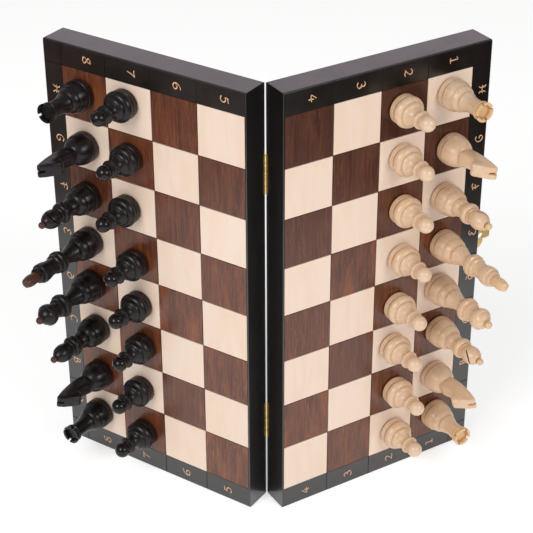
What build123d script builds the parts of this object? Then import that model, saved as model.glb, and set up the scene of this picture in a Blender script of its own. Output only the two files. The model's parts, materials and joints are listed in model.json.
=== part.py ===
from build123d import *
import os
from math import acos, atan2, cos, radians, sin, sqrt

# Folding magnetic chess set in millimetres, +Z up.
# Two hollow half boards, joined by two butt hinges, stand on their A-file ends like an open
# book whose playing faces look outwards. Thirty-two magnetic men stand on the faces.
# The origin is the centre of the set's footprint, on the surface it stands on.

# Board
SQUARE = 31.5
BOARD_LENGTH = 280.0
HALF_WIDTH = 140.2
HALF_THICKNESS = 18.0
FOLD = 32.44  # each half's turn back from lying flat, in degrees
AXIS_X, AXIS_Y = 0.59, -34.66  # the fold axis, from the centre of the footprint
RIM = 0.2  # the fold axis to each half's rim plane, and to its middle wall
RAIL = 8.0
FACE = RIM + HALF_THICKNESS
OUTER_WALL = RIM + HALF_WIDTH
FIELD_START = 1.1  # the fold axis to the first row of squares
TOP = BOARD_LENGTH / 2

# Playing panel
PANEL = 4.0
VENEER = 0.8
GROOVE = 0.5
SCORE = 0.5
SCORE_DEPTH = 0.3
STEEL = 0.6
STEEL_INSET = 6.0
FELT = 0.8
CORNER = 1.6
ARRIS = 0.9
FOLD_ARRIS = 0.25
PANEL_BACK = FACE - PANEL

# Butt hinges
HINGE_PLACES = (84.0, -84.0)
HINGE_LENGTH = 24.0
LEAF_WIDTH = 7.4
LEAF = 0.7
BARREL_R = 0.95
PIN_R = 0.45
RUNNING = 0.05
KNUCKLES = 5
KNUCKLE_PITCH = HINGE_LENGTH / KNUCKLES
KNUCKLE_GAP = 0.3
NOTCH_R = BARREL_R + 0.1
PIN_HEAD_R = 0.8
HINGE_SCREW_SPREAD = 7.6
HINGE_SCREW_U = 4.8

# Screws
SCREW_HEAD_R = 1.6
SCREW_R = 0.9
SCREW_HEAD = 0.7
SCREW_LENGTH = 6.4
DRIVE_SLOT = 0.4

# Clasp
PLATE = 0.8
CLASP_AXIS_U = OUTER_WALL + 1.7
CLASP_AXIS_V = RIM + 2.6
CLASP_BARREL_R = 1.5
CLASP_PIN_R = 0.6
CLASP_WIDTH = 17.0
CLASP_KNUCKLE = 4.2
HASP = 1.0
HASP_REACH = 14.0
HASP_TAB_WIDTH = 5.0
HASP_TAB = 5.0
KNOB_REACH = 12.0
KNOB_R = 1.4
KNOB_HOLE_R = 1.9
CLASP_SCREW_SPREAD = 5.2

# Men
LIFT = 0.1
PAD = 0.6
MAGNET_R = 5.0
MAGNET = 3.0
BACK_ROW = ("rook", "knight", "bishop", "king", "queen", "bishop", "knight", "rook")
FILES = "hgfedcba"
KNIGHT_HALF_THICKNESS = 3.9
# How each man stands off its square's centre, to half a millimetre: outwards, upwards and turned.
SETTLED = {
    "white_rook_h": (0.5, 3.5, -28), "white_knight_g": (2.0, 0.0, 176),
    "white_bishop_f": (-0.5, 0.0, 20), "white_king_e": (0.5, -0.5, 0),
    "white_queen_d": (-1.0, 0.5, 0), "white_bishop_c": (1.0, 1.0, 205),
    "white_knight_b": (-0.5, -0.5, 198), "white_rook_a": (1.5, 0.5, 15),
    "white_pawn_h": (-1.5, 2.0, 0), "white_pawn_g": (-0.5, 2.5, 0),
    "white_pawn_f": (1.0, 0.5, 0), "white_pawn_e": (1.5, -1.0, 0),
    "white_pawn_d": (0.0, -2.5, 0), "white_pawn_c": (-2.0, 0.5, 0),
    "white_pawn_b": (1.5, -1.5, 0), "white_pawn_a": (1.5, -1.5, 0),
    "black_rook_h": (2.5, 1.0, -22), "black_knight_g": (1.0, 0.0, 2),
    "black_bishop_f": (1.5, -1.5, 58), "black_king_e": (2.0, -0.5, 0),
    "black_queen_d": (3.0, 0.0, 0), "black_bishop_c": (1.0, 0.5, 150),
    "black_knight_b": (1.0, -2.0, -10), "black_rook_a": (3.0, -1.0, 25),
    "black_pawn_h": (2.0, 3.5, 0), "black_pawn_g": (0.5, 1.5, 0),
    "black_pawn_f": (3.5, -1.0, 0), "black_pawn_e": (0.0, -5.0, 0),
    "black_pawn_d": (-1.5, -2.0, 0), "black_pawn_c": (-2.5, -0.5, 0),
    "black_pawn_b": (0.0, -1.5, 0), "black_pawn_a": (-0.5, -3.0, 0)}


def face_frame(side):
    """One half's frame: x to the right along its face, y up, z out of the face."""
    turn = radians(FOLD)
    right = (cos(turn), side * sin(turn), 0)
    out = (side * sin(turn), -cos(turn), 0)
    return Plane(origin=(AXIS_X, AXIS_Y, TOP), x_dir=right, z_dir=out)


def block(side, u, y, v):
    """A box between pairs of limits: u out from the fold axis, y up, v out from the rim."""
    size = (u[1] - u[0], y[1] - y[0], v[1] - v[0])
    middle = (side * (u[0] + u[1]) / 2, (y[0] + y[1]) / 2, (v[0] + v[1]) / 2)
    return Pos(*middle) * Box(*size)


def upright_rod(side, u, y, v, radius, length):
    """A rod parallel to the fold axis, centred on a point."""
    return Pos(side * u, y, v) * Rot(90, 0, 0) * Cylinder(radius, length)


# ---- half boards ----


def blank(side):
    """The outside of a half: a plain block with rounded outer corners and arrises."""
    body = block(side, (RIM, OUTER_WALL), (-TOP, TOP), (RIM, FACE))
    corners = body.edges().filter_by(Axis.Z).group_by(Axis.X)[-1 if side > 0 else 0]
    body = fillet(corners, CORNER)
    outline = body.faces().filter_by(Axis.Z).edges()
    inner = outline.filter_by(Axis.Y).group_by(Axis.X)[0 if side > 0 else -1]
    body = fillet([edge for edge in outline if edge not in inner], ARRIS)
    fold_edges = body.edges().filter_by(Axis.Y).group_by(Axis.X)[0 if side > 0 else -1]
    return fillet(fold_edges, FOLD_ARRIS)


def middle_rail(side):
    rail = block(side, (RIM, RIM + RAIL), (-TOP, TOP), (RIM, PANEL_BACK)) & blank(side)
    for place in HINGE_PLACES:
        span = (place - HINGE_LENGTH / 2, place + HINGE_LENGTH / 2)
        rail -= block(side, (0, LEAF_WIDTH), span, (0, RIM + LEAF))
        rail -= upright_rod(side, 0, place, 0, NOTCH_R, HINGE_LENGTH + 1.8)
    for screw in hinge_screws(side):
        rail -= screw
    return rail


def outer_rail(side):
    rail = block(side, (OUTER_WALL - RAIL, OUTER_WALL), (-TOP, TOP), (RIM, PANEL_BACK))
    rail &= blank(side)
    for screw in clasp_screws(side):
        rail -= screw
    return rail


def end_rail(side, end):
    """The rail along the H end (end = 1) or the A end (end = -1)."""
    y = sorted((end * (TOP - RAIL), end * TOP))
    rail = block(side, (RIM + RAIL, OUTER_WALL - RAIL), y, (RIM, PANEL_BACK))
    return rail & blank(side)


def scored_lines(side):
    """Cuts that carry the squares' edges on across the border, to the panel's own edges."""
    half = SCORE / 2
    depth = (FACE - SCORE_DEPTH, FACE + 1)
    field_end = FIELD_START + 4 * SQUARE
    cuts = [block(side, (field_end, OUTER_WALL + 1), (y - half, y + half), depth)
            for y in [row * SQUARE for row in range(-4, 5)]]
    for end in (-1, 1):
        y = sorted((end * 4 * SQUARE, end * (TOP + 1)))
        for column in range(1, 5):
            u = FIELD_START + column * SQUARE
            cuts.append(block(side, (u - half, u + half), y, depth))
    return cuts


def playing_panel(side):
    """The black panel, with a bed for the squares and a pocket behind for the steel."""
    panel = block(side, (RIM, OUTER_WALL), (-TOP, TOP), (PANEL_BACK, FACE)) & blank(side)
    field = (FIELD_START, FIELD_START + 4 * SQUARE)
    panel -= block(side, field, (-4 * SQUARE, 4 * SQUARE), (FACE - VENEER, FACE + 1))
    for line in scored_lines(side):
        panel -= line
    return panel - steel_sheet(side)


def steel_sheet(side):
    u = (RIM + STEEL_INSET, OUTER_WALL - STEEL_INSET)
    y = (STEEL_INSET - TOP, TOP - STEEL_INSET)
    return block(side, u, y, (PANEL_BACK, PANEL_BACK + STEEL))


def felt_lining(side):
    u = (RIM + RAIL + 0.1, OUTER_WALL - RAIL - 0.1)
    y = (RAIL + 0.1 - TOP, TOP - RAIL - 0.1)
    return block(side, u, y, (PANEL_BACK - FELT, PANEL_BACK))


def square_centre(file, rank):
    """Distance u from the fold axis and height y of a square; file 0 is the H file."""
    column = rank - 5 if rank > 4 else 4 - rank
    return FIELD_START + (column + 0.5) * SQUARE, (3.5 - file) * SQUARE


def squares(side, dark):
    """The sixteen veneer squares of one colour; h8 and a1 are dark."""
    ranks = range(5, 9) if side < 0 else range(1, 5)
    half = (SQUARE - GROOVE) / 2
    tiles = []
    for rank in ranks:
        for file in range(8):
            if ((file + rank) % 2 == 0) != dark:
                continue
            u, y = square_centre(file, rank)
            tiles.append(block(side, (u - half, u + half), (y - half, y + half),
                               (FACE - VENEER, FACE)))
    return tiles


# ---- fasteners ----


def screw_solid():
    """A countersunk screw along +Z with its head's face at the origin."""
    body = Pos(0, 0, SCREW_HEAD / 2) * Cone(SCREW_HEAD_R, SCREW_R, SCREW_HEAD)
    return body + Pos(0, 0, SCREW_LENGTH / 2) * Cylinder(SCREW_R, SCREW_LENGTH)


def drive_slot():
    return Box(2 * SCREW_HEAD_R, DRIVE_SLOT, 2 * DRIVE_SLOT)


def hinge_screw_places(side):
    return [Pos(side * HINGE_SCREW_U, place + step, RIM)
            for place in HINGE_PLACES for step in (-HINGE_SCREW_SPREAD, HINGE_SCREW_SPREAD)]


def clasp_screw_places(side):
    """The places of the two screws in the outer wall, heads outwards."""
    inwards = Rot(0, -90 * side, 0)
    u = OUTER_WALL + PLATE
    v = CLASP_AXIS_V + 7.2 if side > 0 else KNOB_REACH - CLASP_AXIS_V
    return [Pos(side * u, y, v) * inwards for y in (-CLASP_SCREW_SPREAD, CLASP_SCREW_SPREAD)]


def hinge_screws(side):
    return [place * screw_solid() for place in hinge_screw_places(side)]


def clasp_screws(side):
    return [place * screw_solid() for place in clasp_screw_places(side)]


def screws(side):
    """The four hinge screws and two clasp screws of one half, each with its slot."""
    places = hinge_screw_places(side) + clasp_screw_places(side)
    return [place * (screw_solid() - drive_slot()) for place in places]


# ---- butt hinges ----


def hinge_leaf(side, place):
    """A leaf with its knuckles; the left leaf has the outer and the middle ones."""
    leaf = block(side, (NOTCH_R + 0.1, LEAF_WIDTH),
                 (place - HINGE_LENGTH / 2, place + HINGE_LENGTH / 2), (RIM, RIM + LEAF))
    for k in range(0 if side < 0 else 1, KNUCKLES, 2):
        y = place + (k - (KNUCKLES - 1) / 2) * KNUCKLE_PITCH
        half = (KNUCKLE_PITCH - KNUCKLE_GAP) / 2
        leaf += block(side, (0, NOTCH_R + 0.2), (y - half, y + half), (RIM, RIM + LEAF))
        leaf += upright_rod(side, 0, y, 0, BARREL_R, 2 * half)
    bore = PIN_R if side < 0 else PIN_R + RUNNING
    leaf -= upright_rod(side, 0, place, 0, bore, 2 * HINGE_LENGTH)
    for screw in hinge_screws(side):
        leaf -= screw
    return leaf


def hinge_pin(place):
    pin = upright_rod(1, 0, place, 0, PIN_R, HINGE_LENGTH + 0.8)
    for end in (-1, 1):
        pin += upright_rod(1, 0, place + end * (HINGE_LENGTH / 2 + 0.15), 0, PIN_HEAD_R, 0.5)
    return pin


# ---- clasp ----


def clasp_rod(y, radius, length):
    return upright_rod(1, CLASP_AXIS_U, y, CLASP_AXIS_V, radius, length)


def clasp_base():
    """The plate on the white half's outer wall, with two knuckles and the pin."""
    half = CLASP_WIDTH / 2
    plate = block(1, (OUTER_WALL, OUTER_WALL + PLATE), (-half, half),
                  (CLASP_AXIS_V, CLASP_AXIS_V + 10.4))
    plate -= block(1, (OUTER_WALL - 1, OUTER_WALL + 2), (-CLASP_KNUCKLE, CLASP_KNUCKLE),
                   (CLASP_AXIS_V - 1, CLASP_AXIS_V + CLASP_BARREL_R + 0.4))
    length = half - CLASP_KNUCKLE
    for end in (-1, 1):
        plate += clasp_rod(end * (CLASP_KNUCKLE + length / 2), CLASP_BARREL_R, length)
    pin = clasp_rod(0, CLASP_PIN_R, CLASP_WIDTH)
    plate -= pin
    for screw in clasp_screws(1):
        plate -= screw
    return [plate, pin]


def clasp_hasp():
    """The hasp, swung open square to the wall: a plate with a knob hole and a finger tab."""
    start = CLASP_AXIS_U + CLASP_BARREL_R + 0.4
    end = CLASP_AXIS_U + HASP_REACH
    half = CLASP_WIDTH / 2
    v = (CLASP_AXIS_V - HASP / 2, CLASP_AXIS_V + HASP / 2)
    hasp = block(1, (start, end), (-half, half), v)
    tips = hasp.edges().filter_by(Axis.Z).group_by(Axis.X)[-1]
    hasp = fillet(tips, half * 0.6)
    tab_half = HASP_TAB_WIDTH / 2
    hasp += block(1, (end - 1, end + HASP_TAB), (-tab_half, tab_half), v)
    tips = hasp.edges().filter_by(Axis.Z).group_by(Axis.X)[-1]
    hasp = fillet(tips, 1.0)
    knuckle = CLASP_KNUCKLE - KNUCKLE_GAP
    hasp += block(1, (CLASP_AXIS_U, start + 1), (-knuckle, knuckle), v)
    hasp += clasp_rod(0, CLASP_BARREL_R, 2 * knuckle)
    hasp -= clasp_rod(0, CLASP_PIN_R + RUNNING, CLASP_WIDTH)
    return hasp - Pos(CLASP_AXIS_U + KNOB_REACH, 0, CLASP_AXIS_V) * Cylinder(KNOB_HOLE_R, 4)


def catch_plate():
    """The plate with the knob, on the black half's outer wall."""
    v = KNOB_REACH - CLASP_AXIS_V
    plate = block(-1, (OUTER_WALL, OUTER_WALL + PLATE), (-7.4, 7.4), (v - 3.6, v + 3.6))
    outwards = Pos(-OUTER_WALL - PLATE, 0, v) * Rot(0, -90, 0)
    plate += outwards * Pos(0, 0, 1.3) * Cylinder(KNOB_R, 2.6)
    for screw in clasp_screws(-1):
        plate -= screw
    return plate


# ---- men, each standing on the origin along +Z ----


class Turning:
    """The outline of a turned piece, drawn upwards as radius and height."""

    def __init__(self, radius, height):
        self.point = (radius, height)
        self.foot = height
        self.edges = [Line((0, 0, height), (radius, 0, height))]

    def line(self, *points):
        for radius, height in points:
            self.edges.append(Line((self.point[0], 0, self.point[1]), (radius, 0, height)))
            self.point = (radius, height)
        return self

    def curve(self, radius, height, rise):
        """An arc that stands out from its chord by rise, or is hollow by it when negative."""
        start, dr, dh = self.point, radius - self.point[0], height - self.point[1]
        chord = sqrt(dr * dr + dh * dh)
        middle = ((start[0] + radius) / 2 + rise * dh / chord, 0,
                  (start[1] + height) / 2 - rise * dr / chord)
        self.edges.append(ThreePointArc((start[0], 0, start[1]), middle, (radius, 0, height)))
        self.point = (radius, height)
        return self

    def ball(self, size, centre, foot=0.0):
        """A ball on the axis, from where its surface has the foot radius up to its top."""
        low = -acos(foot / size)
        self.line((foot, centre + size * sin(low)))
        middle = (low + radians(90)) / 2
        self.edges.append(ThreePointArc((foot, 0, centre + size * sin(low)),
                                        (size * cos(middle), 0, centre + size * sin(middle)),
                                        (0, 0, centre + size)))
        self.point = (0, centre + size)
        return self

    def solid(self):
        if self.point[0] > 0:
            self.line((0, self.point[1]))
        self.edges.append(Line((0, 0, self.point[1]), (0, 0, self.foot)))
        return revolve(make_face(self.edges), Axis.Z)


def base(radius):
    """The foot that every man has: a plain band and a groove above it."""
    turning = Turning(radius - 0.4, PAD)
    turning.curve(radius, PAD + 0.4, 0.1)
    return turning.line((radius, 4.0), (radius - 0.75, 4.45), (radius, 4.9))


def pawn():
    turning = base(9.1).curve(7.9, 9.4, 0.9).line((7.2, 9.7))
    turning.curve(5.8, 12.2, 0.5).line((5.3, 12.4)).curve(3.8, 17.2, -0.7)
    turning.line((5.2, 18.0)).curve(5.2, 19.2, 0.3).line((3.6, 19.9))
    return turning.ball(4.65, 24.0, 3.1).solid()


def rook():
    turning = base(9.5).curve(8.1, 10.2, 0.3).curve(6.2, 14.0, 0.4)
    turning.line((5.8, 14.4)).curve(5.9, 16.0, 0.15).curve(4.6, 22.0, -0.3)
    turning.line((4.6, 27.2), (5.5, 27.8), (5.6, 28.4), (5.2, 28.8))
    turning.curve(5.9, 31.6, 0.2).line((4.4, 31.6), (4.1, 29.2), (0, 28.8))
    tower = turning.solid()
    for quarter in range(4):
        tower -= Rot(0, 0, 45 + 90 * quarter) * Pos(5, 0, 31) * Box(4, 1.4, 3.2)
    return tower


def knight_head():
    """The head and neck: a flat-sided board carved to a horse's outline facing +X."""
    outline = [Spline((-4.4, 0, 12.0), (-5.9, 0, 21.5), (-5.2, 0, 31.0), (-2.2, 0, 39.0)),
               Line((-2.2, 0, 39.0), (-1.4, 0, 41.2)),
               Line((-1.4, 0, 41.2), (1.0, 0, 39.8)),
               Line((1.0, 0, 39.8), (7.4, 0, 31.4)),
               Line((7.4, 0, 31.4), (6.8, 0, 28.6)),
               Line((6.8, 0, 28.6), (3.2, 0, 27.2)),
               Spline((3.2, 0, 27.2), (3.4, 0, 24.0), (5.2, 0, 19.6)),
               Line((5.2, 0, 19.6), (4.4, 0, 12.0)),
               Line((4.4, 0, 12.0), (-4.4, 0, 12.0))]
    head = extrude(make_face(outline), KNIGHT_HALF_THICKNESS, both=True)
    ears = Pos(-0.6, 0, 40.8) * Box(4, 1.2, 2.6)
    mouth = Pos(6.6, 0, 29.8) * Rot(0, 8, 0) * Box(3.6, 8, 0.5)
    return head - ears - mouth


def knight():
    foot = base(9.5).curve(8.3, 10.4, 0.3).curve(5.0, 15.0, 0.9).solid()
    return foot + knight_head()


def bishop():
    turning = base(9.3).curve(8.1, 11.0, 0.4).curve(6.0, 15.2, 0.5)
    turning.line((5.6, 15.6)).curve(4.6, 20.0, 0.3).line((4.6, 21.8))
    turning.curve(6.3, 26.0, 0.5).curve(4.6, 28.0, 0.5)
    turning.line((4.8, 28.4), (4.8, 29.0), (4.0, 29.5)).curve(2.1, 41.4, 2.4)
    body = turning.ball(2.1, 43.2, 1.2).solid()
    return body - Pos(3.4, 0, 37.0) * Rot(0, -56, 0) * Box(8, 12, 0.8)


def queen():
    turning = base(9.7).curve(8.1, 10.8, 0.3).curve(6.3, 15.2, 0.5)
    turning.line((5.9, 15.6)).curve(6.0, 17.4, 0.15).curve(3.7, 26.0, -0.3)
    turning.curve(7.3, 30.6, 0.8).line((7.1, 31.8), (5.9, 32.6), (5.8, 34.6), (4.6, 35.2))
    turning.curve(4.6, 38.2, -0.2).curve(6.7, 43.0, 0.5).line((6.5, 44.2), (5.8, 44.6))
    turning.curve(1.9, 48.6, 0.7)
    return turning.ball(2.3, 50.4, 1.6).solid()


def king():
    turning = base(9.3).curve(8.2, 11.2, 0.4).curve(6.3, 15.9, 0.5)
    turning.line((5.9, 16.3)).curve(6.1, 18.4, 0.15).curve(3.7, 26.8, -0.3)
    turning.curve(6.7, 30.6, 0.5).line((6.7, 32.4), (5.9, 33.0), (5.8, 35.2), (5.0, 35.8))
    turning.curve(5.0, 41.0, -0.15).curve(5.9, 46.0, 0.2).line((5.8, 47.6), (4.8, 48.2))
    turning.line((4.7, 50.2), (3.0, 50.8)).curve(3.5, 56.2, 0.1).curve(2.6, 60.6, 0.2)
    return turning.line((1.4, 61.4)).solid()


def man(kind):
    """A man as wood, magnet and felt pad, three separate solids."""
    shapes = {"pawn": pawn, "rook": rook, "knight": knight,
              "bishop": bishop, "queen": queen, "king": king}
    magnet = Pos(0, 0, PAD + MAGNET / 2) * Cylinder(MAGNET_R, MAGNET)
    pad = Pos(0, 0, PAD / 2) * Cylinder(8.4, PAD)
    return [shapes[kind]() - magnet, magnet, pad]


def men():
    """Every man by node name, standing on its square."""
    stock = {kind: man(kind) for kind in (*BACK_ROW, "pawn")}
    placed = {}
    for colour, side, back, front in (("black", -1, 8, 7), ("white", 1, 1, 2)):
        for file, letter in enumerate(FILES):
            for kind, rank in ((BACK_ROW[file], back), ("pawn", front)):
                name = f"{colour}_{kind}_{letter}"
                u, y = square_centre(file, rank)
                out, up, turn = SETTLED[name]
                stand = Pos(side * (u + out), y + up, FACE + LIFT) * Rot(0, 0, turn)
                spot = face_frame(side).location * stand
                placed[name] = [spot * solid for solid in stock[kind]]
    return placed


# ---- the whole set ----


def half_board(name, side):
    """Every wooden, steel and felt sub-part of one half, by node name."""
    parts = {"outer_rail": [outer_rail(side)], "middle_rail": [middle_rail(side)],
             "h_end_rail": [end_rail(side, 1)], "a_end_rail": [end_rail(side, -1)],
             "playing_panel": [playing_panel(side)], "steel_sheet": [steel_sheet(side)],
             "light_squares": squares(side, False), "dark_squares": squares(side, True),
             "felt_lining": [felt_lining(side)], "screws": screws(side),
             "upper_leaf": [hinge_leaf(side, HINGE_PLACES[0])],
             "lower_leaf": [hinge_leaf(side, HINGE_PLACES[1])]}
    frame = face_frame(side).location
    return {f"{name}_{part}": [frame * solid for solid in solids]
            for part, solids in parts.items()}


def hardware():
    """The hinge pins and the clasp, by node name."""
    left, right = face_frame(-1).location, face_frame(1).location
    return {"hinge_pins": [left * hinge_pin(place) for place in HINGE_PLACES],
            "clasp_base": [right * solid for solid in clasp_base()],
            "clasp_hasp": [right * clasp_hasp()],
            "catch_plate": [left * catch_plate()]}


os.makedirs("parts", exist_ok=True)
nodes = half_board("left", -1) | half_board("right", 1) | hardware() | men()
for name, shapes in nodes.items():
    solids = [solid for shape in shapes for solid in shape.solids()]
    export_step(Compound(solids), f"parts/{name}.step")
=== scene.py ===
import json
import math

import bmesh
import bpy
from mathutils import Matrix, Vector


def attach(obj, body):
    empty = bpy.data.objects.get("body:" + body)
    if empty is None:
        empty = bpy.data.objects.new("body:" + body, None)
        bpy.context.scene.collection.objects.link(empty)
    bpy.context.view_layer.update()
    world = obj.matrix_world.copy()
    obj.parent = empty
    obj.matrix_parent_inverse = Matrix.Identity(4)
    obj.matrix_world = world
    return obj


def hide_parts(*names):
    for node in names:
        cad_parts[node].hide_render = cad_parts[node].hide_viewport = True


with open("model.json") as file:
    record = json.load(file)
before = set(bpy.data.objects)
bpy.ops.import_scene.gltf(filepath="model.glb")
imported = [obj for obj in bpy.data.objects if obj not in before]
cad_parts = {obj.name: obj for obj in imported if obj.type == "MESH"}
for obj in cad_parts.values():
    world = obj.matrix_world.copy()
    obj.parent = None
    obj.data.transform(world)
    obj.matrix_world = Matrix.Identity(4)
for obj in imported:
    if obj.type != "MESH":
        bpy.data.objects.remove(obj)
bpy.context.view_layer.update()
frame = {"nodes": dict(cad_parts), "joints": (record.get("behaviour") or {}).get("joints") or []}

# Folding magnetic chess set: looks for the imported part. Metres, in the part's own frame.
# In a half's face frame x runs right along the playing face, y up and z out of the face.

MM = 0.001
CREASE = 0.55  # radians: sharper edges than this stay sharp
SIDES = {"left": -1, "right": 1}
SQUARE = 31.5 * MM
FILES = "HGFEDCBA"
GLYPH_HEIGHT = 5.3 * MM
GLYPH_LIFT = 0.02 * MM
GLYPH_THICK = 0.05 * MM
PEN = 0.72 * MM
CAMERA_ROLL = -0.21

fold = next(joint for joint in frame["joints"] if joint["name"] == "board_fold")
HALF_TURN = math.radians(-fold["range_deg"][0] / 2)


# ---- where things are ----


def face_matrix(side):
    """The face frame of one half: its axes, with the origin on the fold axis at mid-height."""
    right = Vector((math.cos(HALF_TURN), side * math.sin(HALF_TURN), 0))
    up = Vector((0, 0, 1))
    out = Vector((side * math.sin(HALF_TURN), -math.cos(HALF_TURN), 0))
    matrix = Matrix((right, up, out)).transposed().to_4x4()
    matrix.translation = Vector(fold["pos_m"])
    return matrix


def extent(name, side, axis):
    """Lowest and highest place of a CAD node along one axis of its face frame."""
    inverse = face_matrix(side).inverted()
    along = [(inverse @ vertex.co)[axis] for vertex in frame["nodes"][name].data.vertices]
    return min(along), max(along)


FACE = extent("right_playing_panel", 1, 2)[1]
OUTER = extent("right_playing_panel", 1, 0)[1]
TOP = extent("right_playing_panel", 1, 1)[1]
FIELD_TOP = 4 * SQUARE
FIELD_START = extent("right_light_squares", 1, 0)[0] - 0.25 * MM
FIELD_END = FIELD_START + 4 * SQUARE
FOOT = extent("white_pawn_e", 1, 2)[0]


# ---- node trees ----


class Finish:
    """One material: a Principled shader and short ways to add nodes before it."""

    def __init__(self, name, **levels):
        self.material = bpy.data.materials.new(name)
        self.material.use_nodes = True
        self.tree = self.material.node_tree
        self.shader = self.tree.nodes["Principled BSDF"]
        for level, value in levels.items():
            self.shader.inputs[level.replace("_", " ")].default_value = value
        self.material.diffuse_color = (*levels.get("Base_Color", (0.5, 0.5, 0.5, 1))[:3], 1)

    def put(self, socket, value):
        if isinstance(value, bpy.types.NodeSocket):
            self.tree.links.new(value, socket)
        else:
            socket.default_value = value

    def node(self, kind, settings=None, inputs=None, result=0):
        node = self.tree.nodes.new("ShaderNode" + kind)
        for key, value in (settings or {}).items():
            setattr(node, key, value)
        for key, value in (inputs or {}).items():
            self.put(node.inputs[key], value)
        return node.outputs[result]

    def math(self, operation, first, second=0.0, third=0.0):
        inputs = {0: first, 1: second, 2: third}
        return self.node("Math", {"operation": operation}, inputs)

    def vector(self, operation, first, second=(0, 0, 0)):
        return self.node("VectorMath", {"operation": operation}, {0: first, 1: second})

    def object_point(self):
        """The point in millimetres, in the part's own frame."""
        point = self.node("TexCoord", result=3)
        return self.vector("MULTIPLY", point, (1000, 1000, 1000))

    def face_point(self, side):
        """The point in millimetres, in the face frame."""
        inverse = face_matrix(side).inverted()
        point = self.node("TexCoord", result=3)
        inputs = {"Vector": point, "Location": inverse.translation * 1000,
                  "Rotation": inverse.to_euler("XYZ"), "Scale": (1000, 1000, 1000)}
        return self.node("Mapping", {"vector_type": "POINT"}, inputs)

    def noise(self, point, scale, detail=3.0, roughness=0.5, distortion=0.0):
        inputs = {"Vector": point, "Scale": scale, "Detail": detail, "Roughness": roughness,
                  "Distortion": distortion}
        return self.node("TexNoise", None, inputs)

    def stretched(self, point, factors):
        return self.vector("MULTIPLY", point, factors)

    def split(self, point):
        node = self.tree.nodes.new("ShaderNodeSeparateXYZ")
        self.put(node.inputs[0], point)
        return node.outputs

    def band(self, value, low, high):
        """0 below low, 1 above high, smooth between."""
        inputs = {0: value, 1: low, 2: high, 3: 0.0, 4: 1.0}
        return self.node("MapRange", {"interpolation_type": "SMOOTHSTEP"}, inputs)

    def scaled(self, value, low, high, to_low, to_high):
        return self.node("MapRange", None, {0: value, 1: low, 2: high, 3: to_low, 4: to_high})

    def mix(self, factor, first, second, blend="MIX"):
        node = self.tree.nodes.new("ShaderNodeMix")
        node.data_type = "RGBA"
        node.blend_type = blend
        self.put(node.inputs[0], factor)
        self.put(node.inputs[6], first)
        self.put(node.inputs[7], second)
        return node.outputs[2]

    def bump(self, height, distance, strength=1.0, before=None):
        inputs = {"Height": height, "Distance": distance, "Strength": strength}
        if before is not None:
            inputs["Normal"] = before
        return self.node("Bump", None, inputs)

    def finish(self, colour=None, roughness=None, normal=None):
        for level, value in (("Base Color", colour), ("Roughness", roughness),
                             ("Normal", normal)):
            if value is not None:
                self.put(self.shader.inputs[level], value)
        return self.material


def rgb(red, green, blue):
    return (red, green, blue, 1)


# ---- materials ----


def square_draw(finish, point, side):
    """A random draw for each square, and the point moved by it so that no two grains match."""
    from_start = finish.vector("SUBTRACT", point, (side * FIELD_START / MM, 0, 0))
    cell = finish.vector("FLOOR", finish.vector("DIVIDE", from_start, (31.5, 31.5, 1000)))
    tile = finish.node("TexWhiteNoise", None, {"Vector": cell}, result=1)
    shift = finish.vector("MULTIPLY_ADD", tile, (90, 90, 90))
    finish.put(shift.node.inputs[2], point)
    return tile, shift


def light_veneer(side):
    finish = Finish(f"light_veneer_{side}", IOR=1.5, Coat_Weight=0.25, Coat_Roughness=0.2)
    point = finish.face_point(side)
    tile, shift = square_draw(finish, point, side)
    grain = finish.noise(finish.stretched(shift, (1.1, 0.05, 1)), 1.0, 5, 0.6, 0.4)
    flame = finish.noise(finish.stretched(shift, (0.10, 0.02, 1)), 1.0, 2, 0.5, 1.2)
    pores = finish.noise(finish.stretched(shift, (5, 0.5, 1)), 1.0, 2, 0.5)
    colour = finish.mix(grain, rgb(0.75, 0.58, 0.465), rgb(0.79, 0.64, 0.53))
    colour = finish.mix(finish.band(flame, 0.35, 0.7), colour, rgb(0.76, 0.575, 0.44))
    tone = finish.scaled(finish.split(tile)[0], 0, 1, 0.0, 0.35)
    colour = finish.mix(tone, colour, rgb(0.82, 0.67, 0.565))
    colour = finish.mix(finish.scaled(pores, 0.62, 0.8, 0, 0.25), colour, rgb(0.6, 0.4, 0.27))
    normal = finish.bump(pores, 0.00003, 0.25)
    return finish.finish(colour, finish.scaled(grain, 0.3, 0.7, 0.38, 0.5), normal)


# Painted shade: each half's dark veneer is painted darker towards the top, more on the right half.
PAINTED_TOP_SHADE = {-1: 0.10, 1: 0.60}  # how much darker each half's dark veneer gets towards the top


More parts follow.
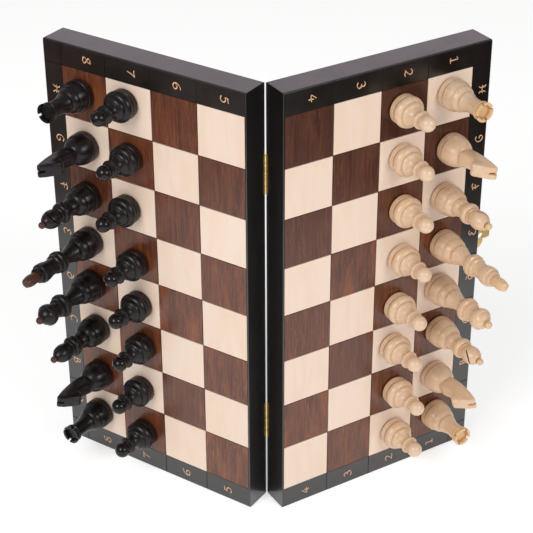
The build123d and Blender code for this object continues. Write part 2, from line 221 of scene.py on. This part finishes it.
def dark_veneer(side):
    finish = Finish(f"dark_veneer_{side}", IOR=1.45, Coat_Weight=0.35, Coat_Roughness=0.2)
    point = finish.face_point(side)
    tile, shift = square_draw(finish, point, side)
    grain = finish.noise(finish.stretched(shift, (0.75, 0.03, 1)), 1.0, 5, 0.6, 0.5)
    figure = finish.noise(finish.stretched(shift, (0.5, 0.015, 1)), 1.0, 4, 0.6, 1.4)
    patches = finish.noise(finish.stretched(shift, (0.10, 0.03, 1)), 1.0, 3, 0.55, 1.0)
    pores = finish.noise(finish.stretched(shift, (4, 0.2, 1)), 1.0, 3, 0.6)
    colour = finish.mix(finish.band(grain, 0.30, 0.70), rgb(0.060, 0.013, 0.005),
                        rgb(0.140, 0.034, 0.010))
    glow = finish.math("MULTIPLY", finish.band(patches, 0.42, 0.75),
                       finish.scaled(finish.split(tile)[1], 0, 1, 0.1, 1.0))
    colour = finish.mix(glow, colour, rgb(0.26, 0.070, 0.018))
    line = finish.math("ABSOLUTE", finish.math("SUBTRACT", figure, 0.52))
    colour = finish.mix(finish.math("MULTIPLY", finish.band(line, 0.022, 0.004), 0.55), colour,
                        rgb(0.33, 0.115, 0.035))
    tone = finish.scaled(finish.split(tile)[0], 0, 1, 0.0, 0.35)
    colour = finish.mix(tone, colour, rgb(0.050, 0.013, 0.006))
    # Painted shade: the dark veneer darkens with height on the face, by this half's amount.
    top_shade = PAINTED_TOP_SHADE[side]
    height = finish.split(point)[1]
    colour = finish.mix(finish.scaled(height, -20, 110, 0, top_shade), colour,
                        rgb(0.028, 0.006, 0.003))
    colour = finish.mix(finish.scaled(pores, 0.55, 0.75, 0, 0.4), colour,
                        rgb(0.020, 0.005, 0.002))
    normal = finish.bump(pores, 0.00004, 0.3)
    return finish.finish(colour, finish.scaled(grain, 0.3, 0.7, 0.30, 0.44), normal)


def black_lacquer():
    finish = Finish("black_lacquer", IOR=1.55, Coat_Weight=0.6, Coat_Roughness=0.16)
    point = finish.object_point()
    cloud = finish.noise(point, 0.05, 4, 0.6)
    grain = finish.noise(finish.stretched(point, (1.5, 1.5, 0.06)), 1.0, 4, 0.6)
    fine = finish.noise(point, 2.5, 3, 0.6)
    dust = finish.noise(point, 1.6, 1, 0.4)
    colour = finish.mix(finish.band(cloud, 0.4, 0.7), rgb(0.0018, 0.0010, 0.0007),
                        rgb(0.0045, 0.0024, 0.0016))
    colour = finish.mix(finish.scaled(grain, 0.5, 0.8, 0, 0.5), colour,
                        rgb(0.013, 0.0065, 0.0042))
    speck = finish.math("MULTIPLY", finish.band(dust, 0.76, 0.80), 0.5)
    colour = finish.mix(speck, colour, rgb(0.10, 0.085, 0.07))
    normal = finish.bump(grain, 0.00005, 0.35)
    normal = finish.bump(fine, 0.00003, 0.5, normal)
    return finish.finish(colour, finish.scaled(cloud, 0.3, 0.7, 0.28, 0.40), normal)


NO_TIP = 60.0
# Height in millimetres, from the felt up, where each kind's finial starts.
TIP_FROM = {"pawn": 19.6, "rook": 27.5, "knight": NO_TIP, "bishop": 41.2, "queen": 48.4,
            "king": 50.6}
WHITE_TIPS = {"pawn": (0.70, 0.50, 0.35), "rook": (0.72, 0.45, 0.20)}
BLACK_TIPS = {"pawn": (0.006, 0.004, 0.004), "rook": (0.007, 0.006, 0.006)}
POLISHED = {"pawn": 0.17}


def man_coordinates(finish, side):
    """The point in the face frame, and its height above the felt's underside."""
    point = finish.face_point(side)
    height = finish.math("SUBTRACT", finish.split(point)[2], FOOT / MM)
    return point, height


def felt_pad(finish, colour, height):
    """Covers what is under the wood with the felt of the foot."""
    wood = finish.band(height, 0.57, 0.60)
    return finish.mix(wood, rgb(0.010, 0.012, 0.010), colour)


def white_wood(kind):
    finish = Finish(f"white_{kind}_wood", IOR=1.5, Coat_Weight=0.3, Coat_Roughness=0.18)
    point, height = man_coordinates(finish, 1)
    grain = finish.noise(finish.stretched(point, (0.9, 0.9, 0.07)), 1.0, 5, 0.6, 0.8)
    growth = finish.noise(finish.stretched(point, (0.22, 0.22, 0.02)), 1.0, 3, 0.6, 1.5)
    pores = finish.noise(finish.stretched(point, (6, 6, 0.7)), 1.0, 2, 0.5)
    lathe = finish.noise(finish.stretched(point, (0.1, 0.1, 3.2)), 1.0, 2, 0.5)
    # Painted shade: an occlusion mask that finds the hollows and undersides of the white men.
    hollow_occlusion = finish.node("AmbientOcclusion", {"samples": 4}, {"Distance": 0.0022}, result=1)
    colour = finish.mix(finish.band(grain, 0.3, 0.7), rgb(0.62, 0.42, 0.265),
                        rgb(0.69, 0.50, 0.35))
    colour = finish.mix(finish.scaled(growth, 0.42, 0.7, 0, 0.6), colour,
                        rgb(0.62, 0.385, 0.205))
    colour = finish.mix(finish.scaled(pores, 0.62, 0.8, 0, 0.3), colour, rgb(0.6, 0.38, 0.2))
    tip = WHITE_TIPS.get(kind, (0.66, 0.43, 0.23))
    from_height = TIP_FROM[kind]
    tipped = finish.math("MULTIPLY", finish.band(height, from_height, from_height + 0.6), 0.7)
    colour = finish.mix(tipped, colour, rgb(*tip))
    # Painted shade: warm brown mixed into the hollows wherever the occlusion mask is low.
    painted_hollow_shade = finish.scaled(hollow_occlusion, 0.40, 0.92, 0.85, 0)
    colour = finish.mix(painted_hollow_shade, colour, rgb(0.42, 0.19, 0.06))
    # Painted shade: a dark band round the groove, about 4.1 to 4.8 mm above the felt.
    above, below = finish.band(height, 4.05, 4.3), finish.band(height, 4.85, 4.6)
    painted_groove_shade = finish.math("MULTIPLY", above, below)
    colour = finish.mix(finish.math("MULTIPLY", painted_groove_shade, 0.65), colour, rgb(0.36, 0.17, 0.06))
    colour = felt_pad(finish, colour, height)
    normal = finish.bump(lathe, 0.00006, 0.2)
    normal = finish.bump(grain, 0.00004, 0.2, normal)
    return finish.finish(colour, finish.scaled(growth, 0.3, 0.7, 0.30, 0.42), normal)


def black_wood(kind):
    finish = Finish(f"black_{kind}_wood", IOR=1.45, Specular_IOR_Level=0.32,
                    Coat_Weight=0.08, Coat_Roughness=0.1)
    point, height = man_coordinates(finish, -1)
    grain = finish.noise(finish.stretched(point, (1.1, 1.1, 0.08)), 1.0, 5, 0.6, 0.6)
    lathe = finish.noise(finish.stretched(point, (0.1, 0.1, 3.0)), 1.0, 2, 0.5)
    wear = finish.noise(point, 0.35, 4, 0.6)
    colour = finish.mix(finish.band(grain, 0.35, 0.75), rgb(0.0062, 0.0044, 0.0048),
                        rgb(0.0110, 0.0076, 0.0078))
    foot = finish.math("MULTIPLY", finish.band(height, 4.3, 3.6),
                       finish.scaled(wear, 0.3, 0.7, 0.25, 0.8))
    colour = finish.mix(foot, colour, rgb(0.026, 0.011, 0.007))
    tip = BLACK_TIPS.get(kind, (0.075, 0.030, 0.020))
    from_height = TIP_FROM[kind]
    tipped = finish.math("MULTIPLY", finish.band(height, from_height, from_height + 0.8), 0.85)
    colour = finish.mix(tipped, colour, rgb(*tip))
    colour = felt_pad(finish, colour, height)
    normal = finish.bump(lathe, 0.00006, 0.25)
    normal = finish.bump(grain, 0.00004, 0.2, normal)
    rough = finish.scaled(wear, 0.3, 0.7, 0.27, 0.36)
    polish = finish.band(height, from_height, from_height + 0.8)
    rough = finish.math("MULTIPLY_ADD", polish, -POLISHED.get(kind, 0.0), rough)
    return finish.finish(colour, rough, normal)


def brass():
    finish = Finish("brass", Metallic=1.0)
    point = finish.object_point()
    tarnish = finish.noise(point, 0.35, 4, 0.6)
    scratches = finish.noise(finish.stretched(point, (0.4, 0.4, 14)), 1.0, 3, 0.6)
    colour = finish.mix(finish.band(tarnish, 0.35, 0.75), rgb(0.86, 0.62, 0.26),
                        rgb(0.66, 0.42, 0.15))
    normal = finish.bump(scratches, 0.00002, 0.3)
    return finish.finish(colour, finish.scaled(tarnish, 0.3, 0.7, 0.18, 0.34), normal)


def steel():
    finish = Finish("steel", Metallic=1.0)
    point = finish.object_point()
    rolled = finish.noise(finish.stretched(point, (2.5, 2.5, 0.05)), 1.0, 4, 0.6)
    colour = finish.mix(rolled, rgb(0.36, 0.36, 0.37), rgb(0.52, 0.52, 0.53))
    return finish.finish(colour, finish.scaled(rolled, 0.3, 0.7, 0.3, 0.5))


def felt():
    finish = Finish("felt", IOR=1.4, Sheen_Weight=0.6, Sheen_Roughness=0.5)
    point = finish.object_point()
    fibres = finish.noise(point, 3.0, 6, 0.75, 2.0)
    cloud = finish.noise(point, 0.12, 3, 0.5)
    colour = finish.mix(fibres, rgb(0.008, 0.050, 0.020), rgb(0.030, 0.130, 0.060))
    colour = finish.mix(finish.scaled(cloud, 0.4, 0.7, 0, 0.4), colour, rgb(0.012, 0.06, 0.028))
    return finish.finish(colour, 0.95, finish.bump(fibres, 0.0003, 0.6))


def gilt():
    finish = Finish("gilt_print", IOR=1.45)
    point = finish.object_point()
    wear = finish.noise(point, 1.4, 4, 0.65)
    colour = finish.mix(finish.band(wear, 0.35, 0.7), rgb(0.80, 0.48, 0.27),
                        rgb(0.52, 0.28, 0.14))
    return finish.finish(colour, finish.scaled(wear, 0.3, 0.7, 0.35, 0.55))


# ---- mesh helpers ----


def new_piece(name, builder, material, body, matrix=None):
    """A mesh object made by a bmesh builder, riding on a body."""
    mesh = bpy.data.meshes.new(name)
    work = bmesh.new()
    builder(work)
    bmesh.ops.recalc_face_normals(work, faces=work.faces)
    for face in work.faces:
        face.smooth = True
    for edge in work.edges:
        edge.smooth = edge.is_manifold and edge.calc_face_angle() < CREASE
    work.to_mesh(mesh)
    work.free()
    mesh.materials.append(material)
    piece = bpy.data.objects.new(name, mesh)
    bpy.context.scene.collection.objects.link(piece)
    if matrix is not None:
        mesh.transform(matrix)
    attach(piece, body)
    return piece


def smooth_line(points, steps=7):
    """Points along a Catmull-Rom curve through the given ones."""
    knots = [points[0], *points, points[-1]]
    line = []
    for a, b, c, d in zip(knots, knots[1:], knots[2:], knots[3:]):
        for step in range(steps):
            t = step / steps
            line.append(tuple(
                0.5 * (2 * b[k] + (c[k] - a[k]) * t + (2 * a[k] - 5 * b[k] + 4 * c[k] - d[k]) * t * t
                       + (3 * b[k] - a[k] - 3 * c[k] + d[k]) * t ** 3) for k in (0, 1)))
    line.append(points[-1])
    return [Vector(point) for point in line]


# ---- knights ----

# Radius and height of the turned foot: its lower part, then the knots of its round shoulder.
FOOT_BASE = [(0, 0), (8.4, 0), (8.4, 0.6), (9.1, 0.6), (9.42, 0.75), (9.5, 1.0), (9.5, 4.0),
             (8.8, 4.4), (8.8, 4.5), (9.5, 4.9)]
FOOT_SHOULDER = [(9.5, 5.6), (8.9, 8.8), (7.5, 12.2), (5.3, 14.8)]
FOOT_TOP = [(4.6, 15.0), (0, 15.0)]
# The carved head from its side, forwards and height: curved back, straight face, curved throat.
HEAD_BACK = [(-4.3, 12.5), (-5.5, 20.0), (-5.4, 28.0), (-4.4, 35.6), (-3.3, 40.2)]
HEAD_FACE = [(-2.4, 41.0), (-1.2, 40.8), (-0.2, 39.9), (1.4, 38.7), (7.1, 31.7), (7.35, 31.0),
             (7.2, 29.8), (6.8, 28.9), (4.0, 27.7)]
HEAD_THROAT = [(3.3, 26.6), (3.3, 24.4), (4.7, 19.0), (5.0, 16.0), (4.3, 12.5)]
HALF_HEAD = 3.85
# Distance in from a cheek, and how far the outline is drawn in there.
HEAD_LAYERS = ((0.0, 0.80), (0.22, 0.36), (0.55, 0.10), (0.95, 0.0), (3.05, 0.0), (3.85, 0.0))
EAR_FROM, EAR_CLEFT = 39.0, 2.4


def turned(work, profile, steps=72):
    """A body of revolution round z, closed on the axis at both ends."""
    rings = []
    for radius, height in profile:
        if radius == 0:
            rings.append([work.verts.new((0, 0, height))])
            continue
        spots = (math.tau * step / steps for step in range(steps))
        rings.append([work.verts.new((radius * math.cos(a), radius * math.sin(a), height))
                      for a in spots])
    for near, far in zip(rings, rings[1:]):
        for step in range(steps):
            ahead = (step + 1) % steps
            corners = [near[step % len(near)], near[ahead % len(near)],
                       far[ahead % len(far)], far[step % len(far)]]
            work.faces.new(list(dict.fromkeys(corners)))


def drawn_in(outline, inset):
    """An outline with every corner moved in along the mean of its two sides' normals."""
    moved = []
    for place, here in enumerate(outline):
        before, after = outline[place - 1], outline[(place + 1) % len(outline)]
        along = Vector(after) - Vector(before)
        inwards = Vector((along.y, -along.x)).normalized()
        moved.append(Vector(here) + inwards * inset)
    return moved


def carved_head(work):
    """A sawn board with eased cheeks and a cleft between the ears."""
    outline = smooth_line(HEAD_BACK, 4) + HEAD_FACE + smooth_line(HEAD_THROAT, 3)
    rings = []
    for depth, inset in HEAD_LAYERS:
        rings.append((HALF_HEAD - depth, drawn_in(outline, inset)))
    layers = [(-y, outline) for y, outline in rings] + [(y, o) for y, o in rings[-2::-1]]
    loops = []
    for y, outline in layers:
        cleft = EAR_CLEFT if abs(y) < 0.1 else 0
        loops.append([work.verts.new((spot.x, y, spot.y - (cleft if spot.y > EAR_FROM else 0)))
                      for spot in outline])
    for near, far in zip(loops, loops[1:]):
        for k, _ in enumerate(near):
            ahead = (k + 1) % len(near)
            work.faces.new((near[k], near[ahead], far[ahead], far[k]))
    work.faces.new(loops[0])
    work.faces.new(loops[-1])


def eyes(work):
    for cheek in (-1, 1):
        place = Matrix.Translation((0.4, cheek * (HALF_HEAD - 0.12), 36.0))
        place = place @ Matrix.Diagonal((0.75, 0.35, 0.75, 1))
        bmesh.ops.create_icosphere(work, subdivisions=2, radius=1, matrix=place)


def knight(work):
    turned(work, FOOT_BASE + smooth_line(FOOT_SHOULDER, 3) + FOOT_TOP)
    carved_head(work)
    eyes(work)


def knight_matrix(node, side):
    """Where a CAD knight stands and which way it looks."""
    inverse = face_matrix(side).inverted()
    points = [inverse @ vertex.co for vertex in frame["nodes"][node].data.vertices]
    foot = [point for point in points if point.z < FOOT + 0.9 * MM]
    x = (min(point.x for point in foot) + max(point.x for point in foot)) / 2
    y = (min(point.y for point in foot) + max(point.y for point in foot)) / 2
    stand = Vector((x, y, FOOT))
    reach = [point - stand for point in points]
    muzzle = sum((away for away in reach if away.z > 25 * MM and away.xy.length > 7.7 * MM),
                 Vector((0, 0, 0)))
    turn = Matrix.Rotation(math.atan2(muzzle.y, muzzle.x), 4, "Z")
    return face_matrix(side) @ Matrix.Translation(stand) @ turn @ Matrix.Scale(MM, 4)


def knights():
    for colour, side, wood in (("white", 1, white_wood("knight")),
                               ("black", -1, black_wood("knight"))):
        for file in "bg":
            node = f"{colour}_knight_{file}"
            piece = new_piece(f"{node}_carved", knight, wood, node,
                              knight_matrix(node, side))
            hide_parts(node)


# ---- coordinates round the field ----

# Pen strokes in a box one unit high: x to the right, y up.
STROKES = {
    "1": [[(0.42, 0.98), (0.41, 0.5), (0.43, 0.03)], [(0.12, 0.03), (0.42, 0.0), (0.74, 0.04)],
          [(0.10, 0.80), (0.24, 0.94), (0.44, 0.97)]],
    "2": [[(0.10, 0.76), (0.30, 0.97), (0.64, 0.92), (0.68, 0.64), (0.38, 0.30), (0.06, 0.05)],
          [(0.06, 0.05), (0.32, 0.13), (0.58, 0.03), (0.86, 0.12)]],
    "3": [[(0.12, 0.88), (0.40, 0.99), (0.66, 0.84), (0.58, 0.60), (0.34, 0.54)],
          [(0.34, 0.54), (0.70, 0.46), (0.74, 0.16), (0.42, 0.0), (0.08, 0.10)]],
    "4": [[(0.58, 0.99), (0.30, 0.64), (0.06, 0.34)], [(0.06, 0.34), (0.44, 0.30), (0.88, 0.38)],
          [(0.62, 0.66), (0.56, 0.32), (0.60, 0.0)]],
    "5": [[(0.28, 0.94), (0.52, 0.92), (0.80, 0.99)], [(0.28, 0.94), (0.22, 0.56)],
          [(0.22, 0.56), (0.54, 0.62), (0.76, 0.38), (0.64, 0.08), (0.34, 0.0), (0.08, 0.12)]],
    "6": [[(0.80, 0.96), (0.44, 0.86), (0.16, 0.54), (0.14, 0.18), (0.44, 0.0), (0.76, 0.14),
           (0.74, 0.42), (0.46, 0.52), (0.20, 0.36)]],
    "7": [[(0.06, 0.92), (0.40, 0.88), (0.84, 0.98)], [(0.84, 0.98), (0.52, 0.52), (0.34, 0.0)]],
    "8": [[(0.80, 0.96), (0.44, 0.99), (0.18, 0.78), (0.42, 0.54), (0.76, 0.30), (0.68, 0.06),
           (0.38, 0.0), (0.12, 0.16), (0.24, 0.42), (0.54, 0.60), (0.72, 0.84)]],
    "A": [[(0.16, 0.94), (0.44, 0.74), (0.66, 0.40), (0.90, 0.03)],
          [(0.58, 0.52), (0.22, 0.40), (0.10, 0.12), (0.36, 0.02), (0.64, 0.34)]],
    "B": [[(0.20, 0.97), (0.24, 0.5), (0.20, 0.02)],
          [(0.20, 0.97), (0.60, 0.90), (0.58, 0.62), (0.26, 0.54)],
          [(0.26, 0.54), (0.76, 0.44), (0.70, 0.08), (0.20, 0.02)]],
    "C": [[(0.84, 0.84), (0.50, 0.99), (0.16, 0.72), (0.14, 0.28), (0.44, 0.0), (0.86, 0.16)]],
    "D": [[(0.22, 0.96), (0.62, 0.80), (0.84, 0.42), (0.60, 0.04), (0.26, 0.05), (0.10, 0.32),
           (0.30, 0.58), (0.64, 0.54)]],
    "E": [[(0.80, 0.86), (0.46, 0.99), (0.20, 0.78), (0.50, 0.55)],
          [(0.50, 0.55), (0.12, 0.36), (0.22, 0.06), (0.52, 0.0), (0.86, 0.16)]],
    "F": [[(0.36, 0.90), (0.34, 0.5), (0.42, 0.0)],
          [(0.06, 0.84), (0.34, 0.91), (0.62, 0.99), (0.92, 0.88)],
          [(0.10, 0.48), (0.38, 0.50), (0.74, 0.57)]],
    "G": [[(0.82, 0.86), (0.48, 0.99), (0.14, 0.68), (0.16, 0.26), (0.48, 0.0), (0.80, 0.16),
           (0.76, 0.42), (0.46, 0.46)]],
    "H": [[(0.08, 0.97), (0.25, 0.78), (0.24, 0.26), (0.06, 0.02)],
          [(0.94, 0.98), (0.76, 0.78), (0.74, 0.28), (0.94, 0.03)],
          [(0.02, 0.46), (0.5, 0.54), (0.98, 0.47)]],
}
NIB = math.radians(35)
# How far each half's top digits and letters sit off the middles: digits right, letters right
# and letters down.
NUDGE = {-1: (2.8, 1.6, 0.2), 1: (1.8, 1.2, 0.5)}


def pen_stroke(work, points, place):
    """A flat inked ribbon, as wide as a slanted nib leaves it, put in place by a function."""
    line = smooth_line(points)
    rings = []
    for index, point in enumerate(line):
        along = line[min(index + 1, len(line) - 1)] - line[max(index - 1, 0)]
        angle = math.atan2(along.y, along.x)
        width = PEN / GLYPH_HEIGHT * (0.42 + 0.58 * abs(math.sin(angle - NIB)))
        if index in (0, len(line) - 1):
            width *= 0.55
        across = Vector((-along.y, along.x)).normalized() * width / 2
        rings.append([work.verts.new(place(spot, height))
                      for spot, height in ((point + across, 0), (point + across, GLYPH_THICK),
                                           (point - across, GLYPH_THICK), (point - across, 0))])
    for near, far in zip(rings, rings[1:]):
        for k in range(4):
            work.faces.new((near[k], near[(k + 1) % 4], far[(k + 1) % 4], far[k]))
    for end in (rings[0], rings[-1]):
        work.faces.new(end)


def glyph(work, letter, centre, up):
    """One character, its middle at centre and its top towards up, in the face frame."""
    across = Vector((up.y, -up.x))

    def place(spot, height):
        flat = centre + (across * (spot.x - 0.45) + up * (spot.y - 0.5)) * GLYPH_HEIGHT
        return Vector((flat.x, flat.y, FACE + GLYPH_LIFT + height))

    for points in STROKES[letter]:
        pen_stroke(work, points, place)


def coordinates(side):
    """All the characters of one half."""
    digits = "5678" if side < 0 else "4321"
    edge = (FIELD_TOP + TOP) / 2
    margin = side * (FIELD_END + OUTER) / 2 + NUDGE[side][1] * MM

    def build(work):
        for column, digit in enumerate(digits):
            x = side * (FIELD_START + (column + 0.5) * SQUARE)
            glyph(work, digit, Vector((x + NUDGE[side][0] * MM, edge)), Vector((1, 0)))
            glyph(work, digit, Vector((x, -edge)), Vector((-1, 0)))
        for row, letter in enumerate(FILES):
            y = (3.5 - row) * SQUARE - NUDGE[side][2] * MM
            glyph(work, letter, Vector((margin, y)), Vector((-side, 0)))

    return build


# ---- stage ----


def flat_sheet(name, corners, finish):
    """One big four-cornered sheet of the stage."""
    mesh = bpy.data.meshes.new(name)
    mesh.from_pydata(corners, [], [(0, 1, 2, 3)])
    mesh.materials.append(finish.material)
    sheet = bpy.data.objects.new(name, mesh)
    bpy.context.scene.collection.objects.link(sheet)
    return sheet


def reflected_only(card):
    card.visible_camera = False
    card.visible_diffuse = False
    card.visible_shadow = False


def pale_floor():
    reach = 6.0
    corners = [(-reach, -reach, 0), (reach, -reach, 0), (reach, reach, 0), (-reach, reach, 0)]
    finish = Finish("pale_floor", Roughness=0.9, Base_Color=rgb(0.92, 0.92, 0.92),
                    Emission_Color=rgb(1, 1, 1), Emission_Strength=0.45)
    flat_sheet("floor", corners, finish)


def reflected_shade_card(near, colour):
    """A dark sheet lying beside the set, from near outwards on the same side, seen only in
    reflections: painted shade in what the board's faces reflect.
    """
    far = math.copysign(2.2, near)
    corners = [(near, -1.6, 0.004), (far, -1.6, 0.004), (far, 0.8, 0.004), (near, 0.8, 0.004)]
    finish = Finish("reflected_shade_card", Roughness=1.0, Base_Color=colour)
    reflected_only(flat_sheet("reflected_shade_card", corners, finish))


def reflected_glow_card():
    """A glowing white board behind the set, seen only in reflections: a painted reflection that
    brightens the top ends and rims.
    """
    corners = [(-2.2, 2.0, 0.75), (2.2, 2.0, 0.75), (2.2, 2.0, 2.6), (-2.2, 2.0, 2.6)]
    finish = Finish("reflected_glow_card", Roughness=1.0, Base_Color=rgb(0, 0, 0),
                    Emission_Color=rgb(1.0, 0.86, 0.95), Emission_Strength=0.95)
    reflected_only(flat_sheet("reflected_glow_card", corners, finish))


def soft_box(name, place, target, size, watts, colour=(1, 1, 1)):
    light = bpy.data.lights.new(name, "AREA")
    light.shape = "RECTANGLE"
    light.size, light.size_y = size
    light.energy = watts
    light.color = colour
    lamp = bpy.data.objects.new(name, light)
    lamp.location = place
    lamp.rotation_mode = "QUATERNION"
    lamp.rotation_quaternion = (Vector(target) - Vector(place)).to_track_quat("-Z", "Y")
    bpy.context.scene.collection.objects.link(lamp)


def studio():
    world = bpy.data.worlds.new("studio")
    world.use_nodes = True
    background = world.node_tree.nodes["Background"]
    background.inputs["Color"].default_value = rgb(1, 0.99, 0.98)
    background.inputs["Strength"].default_value = 0.36
    bpy.context.scene.world = world
    middle = (0, 0, 0.14)
    soft_box("key", (-0.9, -1.2, 1.2), middle, (0.85, 0.85), 16)
    soft_box("fill", (1.1, -1.0, 1.0), middle, (0.6, 0.6), 9)
    bpy.context.scene.view_settings.view_transform = "Standard"


def camera():
    """The viewpoint, measured from the fold axis at mid-height."""
    lens = bpy.data.cameras.new("camera")
    lens.lens = 109.42
    lens.sensor_width = 36
    eye = bpy.data.objects.new("camera", lens)
    bpy.context.scene.collection.objects.link(eye)
    axis = Vector(fold["pos_m"])
    eye.location = axis + Vector((15.62, -796.13, 501.30)) * MM
    target = axis + Vector((0.34, 0, 24.44)) * MM
    look = (target - eye.location).to_track_quat("-Z", "Y").to_matrix()
    roll = Matrix.Rotation(math.radians(CAMERA_ROLL), 3, "Z")
    eye.rotation_mode = "QUATERNION"
    eye.rotation_quaternion = (look @ roll).to_quaternion()
    bpy.context.scene.camera = eye


# ---- put together ----


def paint(node, material):
    mesh = frame["nodes"][node].data
    mesh.materials.clear()
    mesh.materials.append(material)
    for polygon in mesh.polygons:
        polygon.material_index = 0


def paint_board():
    lacquer, brass_metal, sheet, lining = black_lacquer(), brass(), steel(), felt()
    parts = {"outer_rail": lacquer, "middle_rail": lacquer, "h_end_rail": lacquer,
             "a_end_rail": lacquer, "playing_panel": lacquer, "steel_sheet": sheet,
             "felt_lining": lining, "screws": brass_metal, "upper_leaf": brass_metal,
             "lower_leaf": brass_metal}
    for half, side in SIDES.items():
        for part, material in parts.items():
            paint(f"{half}_{part}", material)
        paint(f"{half}_light_squares", light_veneer(side))
        paint(f"{half}_dark_squares", dark_veneer(side))
    for node in ("hinge_pins", "clasp_base", "clasp_hasp", "catch_plate"):
        paint(node, brass_metal)


def paint_men():
    woods = {}
    for node in frame["nodes"]:
        if not node.startswith(("white_", "black_")) or "knight" in node:
            continue  # knights() makes its own
        colour, kind, _ = node.split("_")
        if (colour, kind) not in woods:
            woods[colour, kind] = white_wood(kind) if colour == "white" else black_wood(kind)
        paint(node, woods[colour, kind])


paint_board()
paint_men()
knights()
ink = gilt()
for half, side in SIDES.items():
    new_piece(f"{half}_coordinates", coordinates(side), ink, f"{half}_half",
              face_matrix(side))
pale_floor()
# Painted shade in reflections: dark sheets on both sides of the set, seen only in gloss.
reflected_shade_card(-0.40, rgb(0.20, 0.12, 0.10))
reflected_shade_card(0.36, rgb(0.06, 0.03, 0.02))
# Painted reflection: a glowing sheet behind the set, seen only in gloss.
reflected_glow_card()
studio()
camera()
